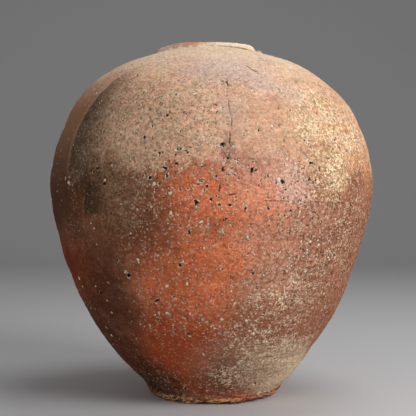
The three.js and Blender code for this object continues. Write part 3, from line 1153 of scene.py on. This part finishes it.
def smooth_band(clay, reach, leftward):
    """The smooth band beyond the arc, and its colour."""
    height, ragged = clay.height, clay.ragged
    band = reach.eased(0.97, 1.02) * leftward * (height + ragged * 0.02).eased(395 * MM, 340 * MM)
    band = band * (height + ragged * 0.12).eased(185 * MM, 260 * MM)
    band = band * (clay.depth + ragged * 0.3).eased(70 * MM, -30 * MM)
    colour = clay.mix(height.eased(285 * MM, 350 * MM), BAND_SHADE, BAND_BROWN_AND_SHADE)
    return band, clay.mix((height + ragged * 0.08).eased(310 * MM, 235 * MM), colour, SIDE_BROWN)


def smoke_shadow(clay, reach, leftward):
    """The dark shadow of the smoke: sharp along its arc and its bar."""
    height, ragged = clay.height, clay.ragged
    above_foot = (height + ragged * 0.01).eased(SMOKE_ARC_FOOT, SMOKE_ARC_FOOT + 14 * MM)
    arc = reach.eased(1.01, 0.98) * (reach + ragged * 0.5).eased(0.58, 1.0)
    side = clay.across + ragged * 3 * MM
    bar = side.eased(BAR_LEFT - 1.5 * MM, BAR_LEFT) * side.eased(BAR_LEFT + 30 * MM, BAR_LEFT + 8 * MM)
    bar = bar * height.eased(BAR_TOP, BAR_TOP - 12 * MM) * height.eased(BAR_FOOT - 3 * MM, BAR_FOOT + MM)
    low = clay.patch(clay.place, seen_at(84, 172), 32, 22, 0.7, ragged) * 0.7
    front = clay.depth.eased(0, -30 * MM)
    return (arc * leftward * above_foot).at_least(bar).at_least(low) * front * 0.88


def speckled(clay, colour, much, smoke_and_shade):
    """The dry clay's salt and pepper: each grain lighter or darker, with pale and dark ones among them."""
    picks = clay.picks(clay.crumpled, 1.9 * MM)
    broad = clay.cloud(clay.crumpled, 4.5 * MM)
    tone = (clay.apart(picks, 0) - 0.5) * 0.56 + (broad - 0.5) * 0.8
    colour = clay.shaded(colour, tone * much + 1)
    pale = clay.apart(picks, 1).eased(0.86, 0.92)
    dark = clay.apart(picks, 2).eased(0.88, 0.94)
    # Under smoke and painted shade the pale grains are olive
    colour = clay.mix(pale * much * 0.5, colour, clay.mix(smoke_and_shade, PALE_ASH, OLIVE))
    return clay.mix(dark * much * much * 0.64, colour, UMBER)


# Each grain's dark gap is moved to the lower left and front: a shrinkage gap that is also a painted shadow,
# as cast by a light from the upper right
GAP_AND_SHADOW_OFFSET = (-0.4 * MM, -0.2 * MM, -0.4 * MM)


def grain_dots(clay, cell, share, size, seed, aside=(0, 0, 0)):
    """Grains by chance, a cell apart, each with a size and strength of its own: 1 on them, 0 between."""
    drift = clay.vector("ADD", clay.crumpled, tuple(seed / n - a for n, a in zip((1, 3, 7), aside)))
    grains = {"Vector": drift, "Scale": 1 / cell, "Randomness": 1.0}
    near_grain = clay.node("ShaderNodeTexVoronoi", {}, grains, 0)
    pick = clay.node("ShaderNodeTexVoronoi", {}, grains, 1)
    chosen = clay.apart(pick, 0).eased(1 - share, 1 - share + 0.02)
    own_size = clay.apart(pick, 1) * size * 0.6 + size * 0.4
    return (own_size - near_grain).eased(0, 0.06) * chosen * (clay.apart(pick, 2) * 0.45 + 0.55)


def add_grains(clay, colour, over, strength, cell, share, size, seed, gap=0.0):
    """Grains of another colour, each with a dark gap on its lower left if a gap is asked for: a shrinkage
    gap and a painted shadow in one.
    """
    if gap:
        gap_shadows = grain_dots(clay, cell, share, size, seed, GAP_AND_SHADOW_OFFSET)
        colour = clay.mix(gap_shadows * strength * gap, colour, UMBER)
    return clay.mix(grain_dots(clay, cell, share, size, seed) * strength, colour, over)


def add_grit(clay, colour, gritty, shoulder, band, shadow):
    """The skin's salt and pepper, its feldspar grains and specks of soot. Grains are fewer, fainter and more
    olive under the smoke and where painted shade lies.
    """
    painted_shade, salty, dark_wall = [
        clay.patch(clay.wandering, *patch) for patch in (PAINTED_SHADE_PATCH, SALTY_PATCH, DARK_PATCH)
    ]
    # The smoke, its smooth band, the painted shade and the dark wall turn the pale grains olive
    smoke_and_shade = shadow.at_least(painted_shade).at_least(band).at_least(dark_wall)
    near_mouth = clay.wandering_height.eased(350 * MM, 405 * MM)
    much = gritty * (shoulder * 0.12 + 0.82 - near_mouth * 0.5 - painted_shade * 0.4 + salty * 0.35)
    colour = speckled(clay, colour, much, smoke_and_shade)
    thick = clay.most([(*field, 0.7, 1.0) for field in grain_fields])
    clump = (clay.drift + thick * 0.22 - 0.06).eased(0.5, 0.62) * (gritty * 0.9 + 0.1)
    clump = clump * (1 - shadow * 0.6) * (1 - painted_shade * 0.75)
    over = clay.mix(smoke_and_shade * 0.75, FELDSPAR, OLIVE_ASH)
    colour = add_grains(clay, colour, over, clump * 0.9, 3 * MM, share=0.3, size=0.36, seed=1.3, gap=0.9)
    colour = add_grains(clay, colour, over, clump, 5.6 * MM, share=0.4, size=0.29, seed=4.1, gap=0.95)
    return add_grains(clay, colour, SOOT, gritty * 0.85, 4 * MM, share=0.24, size=0.3, seed=2.7)


def wear_foot(clay, colour):
    """The foot's trodden edge, pale and dark by turns. It is darker along the bottom, and its pale flecks
    are fewer on the left, which is painted shade.
    """
    flecks = clay.cloud(clay.vector("MULTIPLY", clay.place, (1, 1, 2)), 5 * MM, 3, 0.7)
    foot = (clay.height + (flecks - 0.5) * 12 * MM).eased(11.5 * MM, 7.5 * MM)
    worn = clay.mix(clay.across.eased(0, 50 * MM), WORN_EDGE, RUDDY_EDGE)
    colour = clay.mix(foot * 0.6, colour, UMBER)
    # Fewer pale flecks on the left of the foot: painted shade
    rightward = clay.across.eased(-75 * MM, -50 * MM) * 0.7 + 0.25
    return clay.mix(flecks.eased(0.44, 0.56) * foot * rightward, colour, worn)


def wear_lip(clay, colour):
    """The lip's pale ash, its rubbed clay and its patches, two of them painted shade."""
    lip = clay.height.eased(421.5 * MM, 424.5 * MM)
    rubbed = clay.patch(clay.place, WORN_LIP_PLACE, 30, 3.6, 0.6) * dissolve(clay, 0.7)
    colour = clay.laid(colour, [(lip * 0.75, LIP_CREAM), (rubbed * 0.8, WORN_LIP)])
    for centre, wide, tall, soft, over, strength in lip_patches:
        colour = clay.mix(clay.patch(clay.place, centre, wide, tall, soft) * strength, colour, over)
    return colour


def add_marks(clay, colour):
    """Stones, pits and cracks, with ragged edges. A pit holds broken stone round a dark core. The dark in
    the gaps round stones is partly painted shade; the near black inside pits and cracks is painted shade.
    """
    ragged = (clay.fine - 0.5) * 4.5
    stone = clay.mark("stone") + ragged * 0.7
    pit = clay.mark("pit") + ragged * 0.85
    core = clay.mark("pit") + ragged * 0.35
    crack = clay.mark("crack") + ragged * 0.35
    hue = clay.cloud(clay.place, 7 * MM)
    crumbs = clay.cloud(clay.place, 2.4 * MM, 1)
    stone_colour = clay.mix(hue.eased(0.5, 0.62), FELDSPAR, GREY_STONE_AND_SHADE)
    return clay.laid(colour, [
        # The dark ring in the gap round a stone: partly painted shade
        (stone.eased(0.9, 0.4) * crumbs.eased(0.36, 0.5) * 0.75, UMBER),
        (stone.eased(0.25, -0.05) * 0.92, stone_colour),
        (pit.eased(1.1, 0.5) * crumbs.eased(0.5, 0.56) * 0.6, FELDSPAR),
        # Near black inside pits and cracks: painted shade in the hollows
        (pit.eased(0.3, -0.1) * crumbs.eased(0.6, 0.52) * 0.93, HOLLOW_SHADE),
        (pit.eased(-0.1, -0.4) * crumbs.eased(0.54, 0.6) * 0.85, stone_colour),
        (core.eased(-0.45, -0.85) * 0.95, HOLLOW_SHADE),
        (crack.eased(0.45, -0.1) * 0.85, HOLLOW_SHADE),
    ])


# The dry skin: its roughness, how much of that its fine grain takes away, its shine, how high its bumps are,
# and the share of them that smooth places keep
SKIN_ROUGHNESS = 0.94
FINE_POLISH = 0.1
SKIN_SHINE = 0.12
SKIN_BUMPS = 1 * MM
SMOOTH_BUMPS = 0.4


def make_clay(name):
    """The stoneware: fired colours, ash, smoke, grains, stones, pits and a dry, rough skin. Painted shade
    lies at the lower left, beside grains and stones and in pits and cracks, and painted light towards the
    mouth.
    """
    clay = Clay(name)
    gritty = 1 - clay.most(smooth_patches) * 0.94
    shoulder = (clay.wandering_height + line_drop(clay, 90 * MM)).eased(*ASH_LINE) * gritty
    colour = washed(clay, fired_colour(clay), shoulder)
    colour = add_ash(clay, colour, shoulder)
    colour = clay.shaded(colour, (clay.wiping - 0.5) * gritty * 0.35 + (clay.drift - 0.5) * 0.4 + 1)

    reach, leftward = smoke_arc(clay)
    band, band_colour = smooth_band(clay, reach, leftward)
    shadow = smoke_shadow(clay, reach, leftward)
    colour = clay.laid(colour, [(band * 0.95, band_colour), (shadow, SMOKE)])
    gritty = gritty * (1 - band * 0.9)
    colour = add_grit(clay, colour, gritty, shoulder, band, shadow)
    colour = add_marks(clay, wear_lip(clay, wear_foot(clay, colour)))

    bump = clay.node("ShaderNodeBump", {}, {
        "Strength": gritty * (1 - SMOOTH_BUMPS) + SMOOTH_BUMPS, "Distance": SKIN_BUMPS, "Height": clay.fine,
    })
    shader = clay.node("ShaderNodeBsdfPrincipled", {}, {
        "Base Color": colour,
        "Roughness": SKIN_ROUGHNESS - clay.fine * FINE_POLISH,
        "Specular IOR Level": SKIN_SHINE,
        "Normal": bump,
    })
    clay.node("ShaderNodeOutputMaterial", {}, {"Surface": shader})
    return clay.material


# The pieces themselves
slots = {entry["node"]: entry["material_slot"] for entry in frame["record"]["subparts"]}
clays = {slot: make_clay(slot) for slot in sorted(set(slots.values()))}


def place_piece(node, outline, steps, closed=True):
    """Turns, works and finishes the piece that stands for a node."""
    piece = turned(node + "_clay", outline, steps, closed)
    work(piece)
    piece.data.materials.clear()
    piece.data.materials.append(clays[slots[node]])
    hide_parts(node)
    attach(piece, "root")


place_piece("base_disc", disc_outline(), RIM_TURN_STEPS, closed=False)
for name, low, high in zip(belt_names, joints, joints[1:]):
    place_piece(name, belt_outline(low, high), TURN_STEPS)
place_piece("shoulder_crown", crown_outline(), CROWN_TURN_STEPS)
place_piece("mouth_collar", collar_outline(), RIM_TURN_STEPS)
place_piece("lip_coil", lip_outline(), RIM_TURN_STEPS)


# The floor, the backdrop, the lamps and the camera, in metres
FLOOR_SIZE = 8
BACKDROP_HEIGHT = 4
BACKDROP_SWEEP = 1.5
BACKDROP_SEGMENTS = 16
STUDIO_PALE = paint(205, 205, 206)
STUDIO_ROUGHNESS = 0.9
NEAREST_SEEN = 0.05
FURTHEST_SEEN = 20
SKY_STRENGTH = 0.2
JAR_MIDDLE = Vector((0, 0, 0.22))

# A soft key from the upper right, a weak fill from the left and a lamp above: the place, size and power
LAMPS = {
    "key": ((1.35, -1.1, 1.1), 1.0, 24),
    "fill": ((-1.4, -1.3, 0.7), 1.2, 4),
    "top": ((0.5, 0.2, 1.9), 0.9, 9),
}


def studio_surface():
    """A plain, pale, matt surface."""
    material = bpy.data.materials.new("studio_pale")
    material.use_nodes = True
    shader = material.node_tree.nodes["Principled BSDF"]
    shader.inputs["Base Color"].default_value = STUDIO_PALE
    shader.inputs["Roughness"].default_value = STUDIO_ROUGHNESS
    return material


def studio():
    """A pale floor that curves up into a backdrop."""
    bpy.ops.object.select_all(action="DESELECT")
    bpy.ops.mesh.primitive_plane_add(size=FLOOR_SIZE, location=(0, 0, 0))
    floor = bpy.context.object
    floor.name = "studio_floor"
    bpy.ops.object.mode_set(mode="OBJECT")
    for vertex in floor.data.vertices:
        vertex.select = vertex.co.y > 0
    for edge in floor.data.edges:
        edge.select = all(floor.data.vertices[v].co.y > 0 for v in edge.vertices)
    for face in floor.data.polygons:
        face.select = False
    bpy.ops.object.mode_set(mode="EDIT")
    bpy.ops.mesh.select_mode(type="EDGE")
    bpy.ops.mesh.extrude_region_move(TRANSFORM_OT_translate={"value": (0, 0, BACKDROP_HEIGHT)})
    bpy.ops.object.mode_set(mode="OBJECT")
    bevel = floor.modifiers.new("sweep", "BEVEL")
    bevel.width = BACKDROP_SWEEP
    bevel.segments = BACKDROP_SEGMENTS
    bpy.ops.object.modifier_apply(modifier=bevel.name)
    bpy.ops.object.shade_smooth()
    floor.data.materials.append(studio_surface())


def lamp(name, place, size, power):
    """A square soft lamp that faces the jar."""
    bpy.ops.object.light_add(type="AREA", location=place)
    light = bpy.context.object
    light.name = name
    light.data.size = size
    light.data.energy = power
    light.rotation_euler = (JAR_MIDDLE - Vector(place)).to_track_quat("-Z", "Y").to_euler()


def light_the_studio():
    """The lamps, and an even sky."""
    for name, (place, size, power) in LAMPS.items():
        lamp(name, place, size, power)
    world = bpy.data.worlds.new("studio_air")
    bpy.context.scene.world = world
    world.use_nodes = True
    background = world.node_tree.nodes["Background"]
    background.inputs["Color"].default_value = (1, 1, 1, 1)
    background.inputs["Strength"].default_value = SKY_STRENGTH


def set_camera():
    """The photograph's camera: level, and a little above half the jar's height."""
    bpy.ops.object.camera_add(location=CAMERA_PLACE, rotation=(math.pi / 2, 0, 0))
    camera = bpy.context.object
    camera.name = "photograph_view"
    camera.data.sensor_width = SENSOR
    camera.data.lens = SENSOR * PHOTO_FOCUS / PHOTO_SIZE
    camera.data.clip_start = NEAREST_SEEN
    camera.data.clip_end = FURTHEST_SEEN
    bpy.context.scene.camera = camera


studio()
light_the_studio()
set_camera()
bpy.context.scene.view_settings.view_transform = "Standard"
